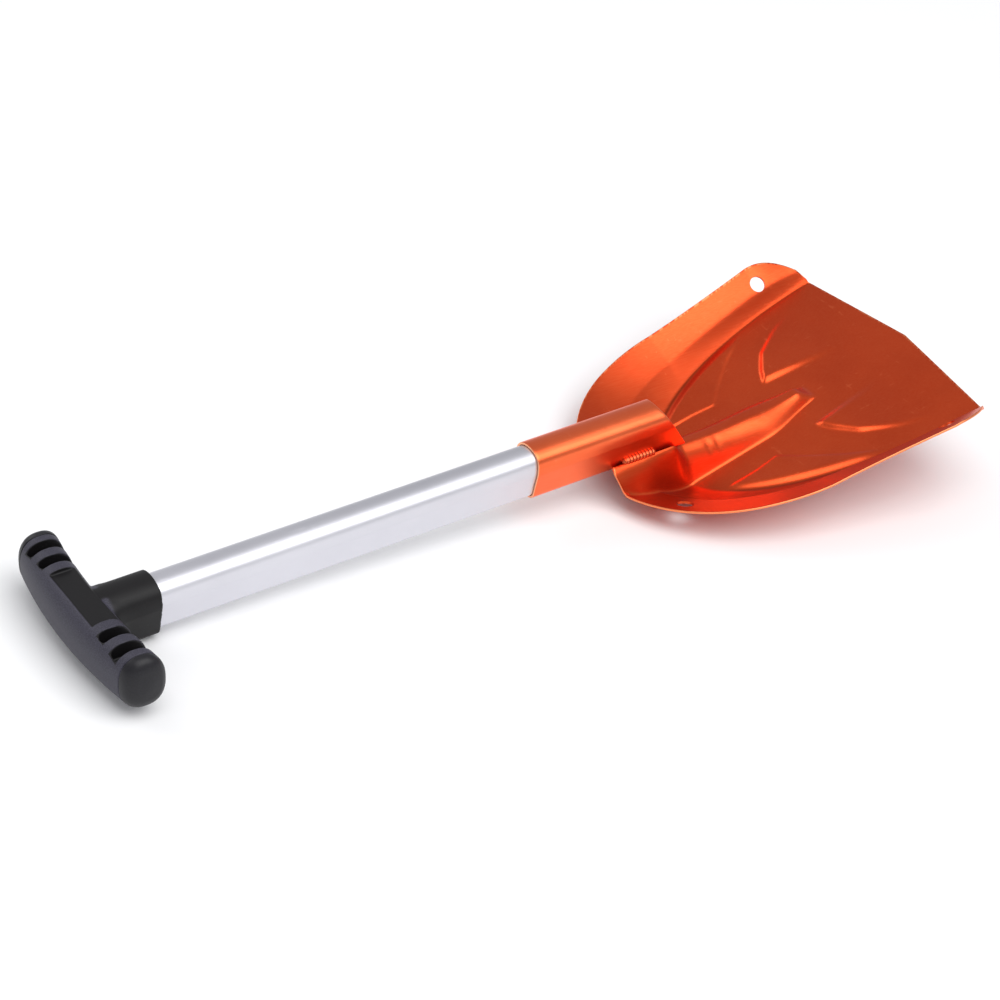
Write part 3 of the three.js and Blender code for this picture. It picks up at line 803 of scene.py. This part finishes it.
@dataclass(frozen=True)
class Grip:
    """The moulded T grip: a bowed bar on a sleeve, its two end caps and its screw."""

    frame: ShaftFrame
    width: float = 148.0
    depth: float = 29.6
    height: float = 38.3
    bow: float = 6.6
    rise: float = 5.0
    axis_x: float = GRIP_AXIS
    sleeve_end: float = -277.5
    cap: float = 9.0
    slot_places: tuple = (39.5, 55.0)
    slot_width: float = 8.0
    slot_depth: float = 11.0
    dish_half: float = 28.0
    dish_depth: float = 3.0
    sleeve_width: float = 29.0
    sleeve_height: float = 41.5
    bore_width: float = 23.8
    bore_height: float = 36.3
    spigot_radius: float = 6.0
    screw_seat: float = 2.8
    voxel: float = 0.55

    @property
    def bar_half(self) -> float:
        """Half the bar's length between the caps."""
        return self.width / 2 - self.cap - CLEARANCE

    @property
    def top(self) -> float:
        """Height of the bar's top over the shaft's axis."""
        return self.rise + self.height / 2

    @property
    def front(self) -> float:
        """Where the bar's front face is in the middle of its ends."""
        return self.axis_x + self.depth / 2

    @property
    def slot_rear(self) -> float:
        """Where the slots' round rear ends are centred."""
        return self.axis_x - self.depth * 0.33

    @property
    def dish_rear(self) -> float:
        """Where the dish in the top ends behind."""
        return self.axis_x - self.bow - self.depth * 0.22

    def bar(self, y: Array, size: Array, around: int = 120) -> Array:
        """Sections of the bar: superellipses of power 2.4 on an axis that bows back.

        Args:
            y: places along the bar.
            size: scale of the section at each place.
            around: points round each section.

        Returns:
            places by points by 3.
        """
        angle = np.linspace(0, 2 * math.pi, around, endpoint=False)[None]
        reach = np.minimum(1, np.abs(y) / (self.width / 2))[:, None]
        scale = size[:, None] * (1 - 0.06 * reach ** 2)
        power = 2 / 2.4

        def rounded(value: Array) -> Array:
            """The value raised to the section's power with its sign kept."""
            return np.sign(value) * np.abs(value) ** power

        x = self.axis_x - self.bow * (1 - reach ** 2)
        x = x + rounded(np.cos(angle)) * scale * self.depth / 2
        z = self.rise + rounded(np.sin(angle)) * scale * self.height / 2
        return np.dstack([x, np.broadcast_to(y[:, None], x.shape), z])

    def box(self, x: tuple, y: tuple, z: tuple) -> Surface:
        """A box cutter."""
        u = np.array([[x[0], y[0]], [x[1], y[0]], [x[1], y[1]], [x[0], y[1]]], dtype=float)
        rings = np.array([np.column_stack([u, np.full(4, level)]) for level in z])
        return closed(rings)

    def prism(self, width: float, height: float, xs: Array, flare: Array, heel: Array) -> Surface:
        """The egg section carried along X, scaled across by flare and upright by heel."""
        ring = EggSection(width, height).outline(96)
        points = np.dstack([np.broadcast_to(xs[:, None], (len(xs), len(ring))),
                            ring[None, :, 0] * flare[:, None], ring[None, :, 1] * heel[:, None]])
        return closed(points)

    def slot(self, y: float) -> Surface:
        """One slot's cutter: straight sides, a round rear end and an open front."""
        floor, half = self.top - self.slot_depth, self.slot_width / 2
        turn = np.linspace(math.pi / 2, 3 * math.pi / 2, 25)
        cosine = -np.abs(np.cos(turn)) ** 0.55
        sine = np.sign(np.sin(turn)) * np.abs(np.sin(turn)) ** 0.55
        front = self.axis_x + 30
        loop = np.vstack([np.column_stack([self.slot_rear + half * cosine, y + half * sine]),
                          [[front, y - half], [front, y + half]]])
        rings = np.array([np.column_stack([loop, np.full(len(loop), z)])
                          for z in (floor, floor + 20)])
        return closed(rings)

    def build_body(self) -> bpy.types.Object:
        """The bar and sleeve in one moulding, cut, then given moulded radii.

        The cut solid is rebuilt on a fine even mesh and smoothed a little, which rounds
        every edge and corner as a mould does.
        """
        frame = self.frame
        y = np.linspace(-self.bar_half, self.bar_half, 90)
        thing = make_object("grip_moulding", closed(self.bar(y, np.ones(90))), frame)
        front = self.front
        xs = np.linspace(self.axis_x - 10, front + 8, 40)
        flare = 1 + 0.1 * clamp01((front + 8 - xs) / 12) ** 2
        heel = np.sqrt(1 - clamp01((self.axis_x - xs) / 11) ** 2)
        neck = self.prism(self.sleeve_width, self.sleeve_height * 0.98, xs, flare, heel)
        ends = np.array([self.axis_x, self.sleeve_end])
        plain = np.ones(2)
        sleeve = self.prism(self.sleeve_width, self.sleeve_height, ends, plain, plain)
        joined = [make_object("neck", neck, frame), make_object("sleeve", sleeve, frame)]
        carve(thing, joined, "UNION")
        bore = np.array([self.axis_x + 2.7, self.sleeve_end + 1])
        cuts = [self.prism(self.bore_width, self.bore_height, bore, plain, plain),
                self.box((self.dish_rear, front + 20),
                         (-self.dish_half, self.dish_half),
                         (self.top - self.dish_depth, self.top + 5))]
        for place in self.slot_places:
            cuts += [self.slot(place), self.slot(-place)]
        head, stem = 4.8, self.screw_seat
        seat = [(0, -40), (head, -40), (head, -19.7), (stem, -19.7), (stem, -10), (0, -10)]
        cuts.append(moved(turned(seat, 40), (SCREW_PLACE, 0, 0)))
        for side in (1, -1):
            centre = np.array([self.axis_x, side * self.bar_half, self.rise])
            cuts.append(drill(centre, LEFT, self.spigot_radius + CLEARANCE, 16.6))
        carve(thing, [make_object(f"grip_cut_{i}", cut, frame) for i, cut in enumerate(cuts)])
        remesh = thing.modifiers.new("even", "REMESH")
        remesh.mode = "VOXEL"
        remesh.voxel_size = self.voxel * MM
        soften = thing.modifiers.new("radii", "SMOOTH")
        soften.factor = 0.5
        soften.iterations = 5
        apply_modifiers(thing, 80)
        self.mark_skin(thing)
        return thing

    def mark_skin(self, thing: bpy.types.Object) -> None:
        """Keeps at each point how much of the mould's eroded skin it has.

        The dish, the slots and the sleeve are smooth, 0, and the rest of the bar is
        eroded, 1. The smooth faces take a far darker colour, which in the slots is painted shade.
        """
        mesh = thing.data
        flat = np.empty(len(mesh.vertices) * 3)
        mesh.vertices.foreach_get("co", flat)
        back = np.array(self.frame.matrix.inverted())
        x, y, z = (flat.reshape(-1, 3) @ back[:3, :3].T + back[:3, 3]).T
        side = np.abs(y)
        sleeve = smooth((x - self.front + 8) / 3) * smooth((25 - side) / 1.5)
        dish = (smooth((x - self.dish_rear + 0.3) / 0.6)
                * smooth((self.dish_half + 0.6 - side) / 0.6)
                * smooth((z - self.top + self.dish_depth + 1.4) / 0.6))
        half = self.slot_width / 2
        # The slots' walls and floors take the dark smooth colour: painted shade deep in the slots.
        slots = sum(smooth((half + 0.5 - np.abs(side - place)) / 0.5)
                    for place in self.slot_places)
        slots = slots * (z < self.top - 1.0) * (z > self.top - self.slot_depth - 1)
        slots = slots * (x > self.slot_rear - half - 0.6)
        skin = 1 - clamp01(sleeve + dish + slots)
        mesh.attributes.new("wear", "FLOAT", "POINT").data.foreach_set("value", skin)

    def build_cap(self, side: int) -> bpy.types.Object:
        """A domed end cap with a rolled seam edge and its spigot inside the bar."""
        inner, outer = self.bar_half + CLEARANCE, self.width / 2
        t = np.linspace(0, 1, 40)
        dome = np.sqrt(np.maximum(0, 1 - t ** 3)) * 0.62 + 0.38
        seam = 1 - 0.02 * (1 - clamp01(t / 0.06)) ** 2
        rings = self.bar(side * (inner + (outer - inner) * t), dome * seam)
        shrink = np.linspace(1, 0, 14)[1:, None, None]
        last = rings[-1][None]
        centre = last.mean(axis=1, keepdims=True)
        end = centre + (last - centre) * shrink + np.array([0, side * 0.5, 0]) * (1 - shrink ** 2)
        body = closed(np.vstack([rings, end]))
        name = "grip_cap_dome_left" if side > 0 else "grip_cap_dome_right"
        thing = make_object(name, body, self.frame, 60)
        root = np.array([self.axis_x, side * (inner - 3.0), self.rise])
        rod = drill(root, LEFT, self.spigot_radius, 10)
        carve(thing, [make_object("spigot", rod, self.frame)], "UNION", 50)
        return thing

    def build_screw(self) -> bpy.types.Object:
        """The screw under the sleeve: a domed head with a hexagonal recess."""
        seat = -18.15 - 2.6 * 0.6 - CLEARANCE

        def recess(radius: Array, angle: Array) -> Array:
            """Rings nearer the middle than the recess's edge take a hexagon's outline."""
            wedge = (angle % (math.pi / 3)) - math.pi / 6
            hexagon = math.cos(math.pi / 6) / np.cos(wedge)
            return np.where(radius < 1.95, radius * hexagon * 1.1, radius)

        recess_floor = [(0, seat - 0.9), (1.8, seat - 0.9), (1.85, seat - 2.1)]
        dome = [(2.3, seat - 2.2), (3.2, seat - 2.0), (3.9, seat - 1.5), (4.4, seat - 0.7),
                (4.5, seat - 0.2), (4.4, seat)]
        stem = [(2.5, seat), (2.5, -12.4), (1.0, -10.9), (0, -10.9)]
        screw = moved(turned(recess_floor + dome + stem, 60, recess), (SCREW_PLACE, 0, 0))
        return make_object("grip_screw_head", screw, self.frame, 35)


# ---------------------------------------------------------------- shader expressions


class Socket:
    """A shader node's output, so that shader maths reads as Python."""

    def __init__(self, nodes: "Nodes", link: bpy.types.NodeSocket) -> None:
        """Wraps one output of a node."""
        self.nodes = nodes
        self.link = link

    def maths(self, operation: str, *values: "Socket | float") -> "Socket":
        """One Math node on this socket and others."""
        inputs = {i: value for i, value in enumerate(values)}
        return self.nodes.add("ShaderNodeMath", {"operation": operation}, inputs)

    def __add__(self, other: "Socket | float") -> "Socket":
        """This plus other."""
        return self.maths("ADD", self, other)

    __radd__ = __add__

    def __sub__(self, other: "Socket | float") -> "Socket":
        """This minus other."""
        return self.maths("SUBTRACT", self, other)

    def __rsub__(self, other: "Socket | float") -> "Socket":
        """Other minus this."""
        return self.maths("SUBTRACT", other, self)

    def __mul__(self, other: "Socket | float") -> "Socket":
        """This times other."""
        return self.maths("MULTIPLY", self, other)

    __rmul__ = __mul__

    def step(self, low: float, high: float) -> "Socket":
        """0 below low, 1 above high and smooth between them."""
        return self.nodes.add("ShaderNodeMapRange", {"interpolation_type": "SMOOTHSTEP"},
                              {"Value": self, "From Min": low, "From Max": high})

    def clamped(self) -> "Socket":
        """This held between 0 and 1."""
        return self.nodes.add("ShaderNodeClamp", {}, {"Value": self})


class Nodes:
    """A material's node tree and the one method that adds to it."""

    def __init__(self, name: str) -> None:
        """Starts an empty material of a name."""
        self.material = bpy.data.materials.new(name)
        self.material.use_nodes = True
        self.tree = self.material.node_tree
        self.tree.nodes.clear()

    def add(self, kind: str, settings: dict | None = None, inputs: dict | None = None,
            output: int | str = 0) -> Socket:
        """Adds a node.

        Args:
            kind: the node's type.
            settings: its properties, or a ramp's stops, which are set first.
            inputs: values or sockets, by input name or number.
            output: which output is wanted.

        Returns:
            That output as a socket.
        """
        node = self.tree.nodes.new(kind)
        for name, value in (settings or {}).items():
            if name == "stops":
                ramp = node.color_ramp.elements
                while len(ramp) < len(value):
                    ramp.new(0.5)
                for element, (place, colour) in zip(ramp, value):
                    element.position = place
                    element.color = (*colour, 1.0)
            else:
                setattr(node, name, value)
        for name, value in (inputs or {}).items():
            if isinstance(value, Socket):
                self.tree.links.new(value.link, node.inputs[name])
            else:
                node.inputs[name].default_value = value
        return Socket(self, node.outputs[output])

    def place(self, scale: Sequence[float] = (1, 1, 1)) -> Socket:
        """Object coordinates in metres, scaled."""
        where = self.add("ShaderNodeTexCoord", output="Object")
        return self.add("ShaderNodeMapping", inputs={"Vector": where, "Scale": tuple(scale)})

    def noise(self, scale: float, detail: float = 3.0, stretch: Sequence[float] = (1, 1, 1),
              roughness: float = 0.5) -> Socket:
        """Fractal noise over the piece, with scale in features per metre."""
        return self.add("ShaderNodeTexNoise", {}, {"Vector": self.place(stretch), "Scale": scale,
                                                   "Detail": detail, "Roughness": roughness})

    def wear(self) -> Socket:
        """How bare the surface is rubbed, or below 0 how much painted shade it has, from the piece's
        own attribute.
        """
        return self.add("ShaderNodeAttribute", {"attribute_name": "wear"}, output="Fac")

    def mix(self, factor: Socket | float, first: "Socket | tuple",
            second: "Socket | tuple") -> Socket:
        """A colour between two."""
        def colour(value: "Socket | tuple") -> "Socket | tuple":
            """A colour with its alpha."""
            return value if isinstance(value, Socket) else (*value, 1.0)
        return self.add("ShaderNodeMix", {"data_type": "RGBA"},
                        {0: factor, 6: colour(first), 7: colour(second)}, 2)

    def bump(self, height: Socket, strength: float, distance: float,
             below: Socket | None = None) -> Socket:
        """A bump from a height, over another bump if there is one."""
        inputs: dict = {"Height": height, "Strength": strength, "Distance": distance}
        if below is not None:
            inputs["Normal"] = below
        return self.add("ShaderNodeBump", {}, inputs)

    def finish(self, **inputs: object) -> bpy.types.Material:
        """Ends the tree in a Principled shader with the inputs given."""
        named = {name.replace("_", " "): value for name, value in inputs.items()}
        shader = self.add("ShaderNodeBsdfPrincipled", {}, named)
        end = self.tree.nodes.new("ShaderNodeOutputMaterial")
        self.tree.links.new(shader.link, end.inputs["Surface"])
        return self.material


# ---------------------------------------------------------------- finishes


@dataclass(frozen=True)
class Anodised:
    """Dyed and sealed aluminium: a satin metal with a drawn or rolled grain.

    Grain runs along the stretch, blotches change the dye's depth, rubbed edges show
    paler metal, and scratches lie on top. Wear below 0 is painted shade, darkening the dye in bends.
    """

    name: str
    colour: tuple
    deep: tuple
    bare: tuple
    roughness: float = 0.3
    grain: tuple = (0.05, 1.0, 1.0)
    grain_depth: float = 0.05
    grain_tint: float = 0.08

    def material(self) -> bpy.types.Material:
        """The finish as a material."""
        n = Nodes(self.name)
        blotch = n.noise(14, 4, roughness=0.6)
        fine = n.noise(160, 4)
        grain = n.noise(1500, 3, self.grain)
        pores = n.noise(5200, 2)
        lines = n.noise(420, 2, (self.grain[0] * 0.6, 1.0, 0.8))
        scratch = lines.step(0.66, 0.69) * fine.step(0.46, 0.66)
        cross = n.noise(330, 2, (1.0, self.grain[0] * 1.4, 1.0))
        cross = cross.step(0.685, 0.71) * fine.step(0.5, 0.62)
        marks = (scratch + cross).clamped()
        rubbed = (n.wear() * (0.9 + 0.2 * fine)).clamped()
        dye = n.mix(blotch.step(0.3, 0.72), self.deep, self.colour)
        dye = n.mix(grain.step(0.25, 0.8) * self.grain_tint, dye, self.bare)
        # Painted shade: where the attribute is below 0, the dye is mixed towards a dark copy of its
        # deep colour.
        painted_shade = (n.wear() * -1.0).clamped()
        dye = n.mix((rubbed * 0.85 + marks * 0.12).clamped(), dye, self.bare)
        dye = n.mix(painted_shade * 0.75, dye, tuple(0.35 * part for part in self.deep))
        rough = (self.roughness + 0.07 * (blotch - 0.5) + 0.05 * (grain - 0.5) + 0.08 * marks
                 + 0.05 * rubbed)
        relief = n.bump(grain, self.grain_depth, 0.00006)
        relief = n.bump(pores, 0.06, 0.00004, relief)
        relief = n.bump(1 - marks, 0.05, 0.00004, relief)
        return n.finish(Base_Color=dye, Roughness=rough, Metallic=1.0, Normal=relief)


@dataclass(frozen=True)
class Steel:
    """Bright spring or plated steel with fine handling marks."""

    name: str
    colour: tuple
    tint: tuple
    roughness: float

    def material(self) -> bpy.types.Material:
        """The finish as a material."""
        n = Nodes(self.name)
        cloud = n.noise(260, 4)
        line = n.noise(2400, 3, (0.08, 1, 1))
        colour = n.mix(cloud.step(0.35, 0.75), self.colour, self.tint)
        colour = n.mix(line.step(0.6, 0.7) * 0.3, colour, (0.3, 0.3, 0.31))
        rough = self.roughness + 0.2 * (cloud - 0.5) + 0.12 * line.step(0.5, 0.75)
        relief = n.bump(line, 0.15, 0.00005)
        return n.finish(Base_Color=colour, Roughness=rough, Metallic=1.0, Normal=relief)


@dataclass(frozen=True)
class Nylon:
    """Glass-filled nylon: a fine pebbled skin where the mould is spark-eroded, and a
    smoother face where it is polished, coloured far darker; in the slots that dark colour is painted
    shade."""

    name: str
    eroded: tuple
    pale: tuple
    smooth_dark: tuple
    roughness: float
    pebble: float
    depth: float

    def material(self) -> bpy.types.Material:
        """The finish as a material. The piece's own attribute says where it is eroded."""
        n = Nodes(self.name)
        skin = n.wear().clamped()
        pebble = n.noise(self.pebble, 2, roughness=0.65)
        fleck = n.noise(900, 3)
        flow = n.noise(35, 4, (1, 0.35, 1))
        scuff = n.noise(520, 3, (0.3, 1, 0.5)).step(0.68, 0.72) * flow.step(0.5, 0.65)
        colour = n.mix(pebble.step(0.35, 0.72), self.eroded, self.pale)
        colour = n.mix(flow.step(0.3, 0.8) * 0.3, colour, self.pale)
        # The smooth faces' far darker colour; in the grip's slots it is painted shade.
        lighter = tuple(1.5 * part for part in self.smooth_dark)
        smooth_face = n.mix(fleck.step(0.3, 0.8), self.smooth_dark, lighter)
        colour = n.mix(skin, smooth_face, colour)
        colour = n.mix(scuff * 0.3, colour, (0.1, 0.095, 0.105))
        rough = (self.roughness + 0.14 * (pebble - 0.5) * skin + 0.06 * (flow - 0.5)
                 - 0.08 * scuff)
        relief = n.bump(pebble * skin, self.depth, 0.00012)
        relief = n.bump(fleck, 0.05, 0.0001, relief)
        return n.finish(Base_Color=colour, Roughness=rough, Normal=relief, Specular_IOR_Level=0.3)


SHEET_ORANGE = Anodised("orange_sheet", colour=(0.78, 0.085, 0.022), deep=(0.71, 0.07, 0.018),
                        bare=(1.0, 0.34, 0.14), roughness=0.32)
# The socket's orange is paler than the sheet's: the real orange plus a painted sheen, standing in for
# the whitened highlights on the tube's sides.
TUBE_ORANGE_WITH_SHEEN = Anodised("orange_tube_with_sheen", colour=(1.0, 0.185, 0.065), deep=(0.95, 0.15, 0.048),
                       bare=(1.0, 0.5, 0.28), roughness=0.32, grain=(0.02, 1.0, 1.0),
                       grain_depth=0.02, grain_tint=0.04)
BEAD_ORANGE = Anodised("orange_bead", colour=(0.68, 0.09, 0.028), deep=(0.5, 0.05, 0.014),
                       bare=(0.98, 0.36, 0.18), roughness=0.36)
TUBE_SILVER = Anodised("silver_tube", colour=(0.72, 0.715, 0.76), deep=(0.69, 0.685, 0.73),
                       bare=(0.86, 0.86, 0.88), roughness=0.44, grain=(0.015, 1.0, 1.0),
                       grain_depth=0.03, grain_tint=0.04)
GRIP_NYLON = Nylon("grip_nylon_skin", eroded=(0.028, 0.026, 0.038), pale=(0.06, 0.057, 0.08),
                   smooth_dark=(0.004, 0.0035, 0.004), roughness=0.52, pebble=1500, depth=0.35)
CAP_NYLON = Nylon("cap_nylon_skin", eroded=(0.01, 0.009, 0.012), pale=(0.02, 0.019, 0.024),
                  smooth_dark=(0.01, 0.0095, 0.012), roughness=0.42, pebble=2600, depth=0.1)
SPRING_STEEL = Steel("spring_steel_strip", colour=(0.62, 0.62, 0.63), tint=(0.5, 0.5, 0.52),
                     roughness=0.24)
PLATED_STEEL = Steel("zinc_plated_screw", colour=(0.66, 0.67, 0.68), tint=(0.58, 0.59, 0.63),
                     roughness=0.3)


# ---------------------------------------------------------------- studio


SENSOR = 36.0


@dataclass(frozen=True)
class Studio:
    """A pale floor, soft lights and the camera, placed about the shaft's frame."""

    frame: ShaftFrame
    eye: tuple = (-821.51, -1061.03, 966.64)
    right: tuple = (0.824448, -0.562126, 0.065566)
    down: tuple = (-0.292229, -0.522062, -0.801282)
    ahead: tuple = (0.484651, 0.641455, -0.594683)
    lens: float = 2.501934 * SENSOR

    def camera(self) -> None:
        """The camera, looking at the concave side from over the grip's right end."""
        data = bpy.data.cameras.new("camera")
        data.sensor_width = SENSOR
        data.lens = self.lens
        data.clip_start = 0.01
        thing = bpy.data.objects.new("camera", data)
        bpy.context.scene.collection.objects.link(thing)
        turn = Matrix.Rotation(-self.frame.lean, 3, "Y")
        columns = [Vector(self.right), -Vector(self.down), -Vector(self.ahead)]
        basis = Matrix([turn @ column for column in columns]).transposed()
        thing.matrix_world = Matrix.Translation(self.frame.matrix @ Vector(self.eye)) @ basis.to_4x4()
        bpy.context.scene.camera = thing

    def light(self, name: str, place: tuple, aim: tuple, size: tuple, power: float) -> None:
        """One soft rectangular light, at a place and aimed at another in metres."""
        data = bpy.data.lights.new(name, "AREA")
        data.shape = "RECTANGLE"
        data.size, data.size_y = size
        data.energy = power
        thing = bpy.data.objects.new(name, data)
        thing.location = place
        thing.rotation_euler = (Vector(aim) - Vector(place)).to_track_quat("-Z", "Y").to_euler()
        bpy.context.scene.collection.objects.link(thing)

    def floor(self) -> None:
        """A wide pale floor."""
        half = 8.0
        corners = [(-half, -half, 0), (half, -half, 0), (half, half, 0), (-half, half, 0)]
        mesh = bpy.data.meshes.new("studio_floor")
        mesh.from_pydata(corners, [], [(0, 1, 2, 3)])
        thing = bpy.data.objects.new("studio_floor", mesh)
        bpy.context.scene.collection.objects.link(thing)
        n = Nodes("studio_paper")
        mesh.materials.append(n.finish(Base_Color=(0.93, 0.93, 0.93, 1.0), Roughness=0.9))

    def build(self) -> None:
        """Camera, floor, sky and lights."""
        self.camera()
        self.floor()
        world = bpy.data.worlds.new("studio")
        world.use_nodes = True
        sky = world.node_tree.nodes["Background"].inputs
        sky["Color"].default_value = (0.95, 0.96, 1.0, 1.0)
        sky["Strength"].default_value = 0.5
        bpy.context.scene.world = world
        self.light("key", (0.5, -2.3, 2.9), (0.05, 0, 0.04), (3.2, 2.2), 68)
        self.light("overhead", (0.0, -0.7, 3.4), (0.0, -0.5, 0), (3.4, 1.6), 44)
        self.light("backdrop", (-1.2, 3.2, 2.3), (0.2, 2.0, 0), (4.0, 1.6), 37)
        bpy.context.scene.view_settings.view_transform = "Standard"


# ---------------------------------------------------------------- assembly


def finish_piece(thing: bpy.types.Object, body: Body, material: bpy.types.Material,
                 replaces: str | None) -> None:
    """Gives a piece its material, its body and the node it stands for."""
    thing.data.materials.clear()
    thing.data.materials.append(material)
    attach(thing, body.value)
    if replaces is not None:
        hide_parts(replaces)
    LOG.info("%s: %d faces on %s", thing.name, len(thing.data.polygons), body.value)


def main() -> None:
    """Builds the pieces around the frame, then the studio."""
    logging.basicConfig(level=logging.INFO, format="%(name)s %(message)s")
    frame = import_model()
    lay = ShaftFrame.from_parts(frame, SOCKET_SECTION.height / 2)
    blade, shaft, grip = Blade(lay), Shaft(lay), Grip(lay)
    finish_piece(blade.build_sheet(), Body.BLADE, SHEET_ORANGE.material(), "blade")
    finish_piece(blade.build_socket(), Body.BLADE, TUBE_ORANGE_WITH_SHEEN.material(), "socket")
    weld = BEAD_ORANGE.material()
    finish_piece(blade.build_weld(1), Body.BLADE, weld, "weld_left")
    finish_piece(blade.build_weld(-1), Body.BLADE, weld, "weld_right")
    finish_piece(shaft.build_tube(), Body.SHAFT, TUBE_SILVER.material(), "shaft")
    steel = SPRING_STEEL.material()
    finish_piece(shaft.build_button(), Body.CLIP, steel, "snap_clip")
    strip = shaft.build_spring()
    finish_piece(strip, Body.SHAFT, steel, None)
    anchor = lay.matrix @ Vector((BUTTON_PLACE, 0, shaft.strip_rest))
    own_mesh(strip)
    finish_piece(grip.build_body(), Body.SHAFT, GRIP_NYLON.material(), "grip_body")
    cap = CAP_NYLON.material()
    finish_piece(grip.build_cap(1), Body.SHAFT, cap, "grip_cap_left")
    finish_piece(grip.build_cap(-1), Body.SHAFT, cap, "grip_cap_right")
    finish_piece(grip.build_screw(), Body.SHAFT, PLATED_STEEL.material(), "grip_screw")

    Studio(lay).build()


if __name__ == "__main__":
    main()
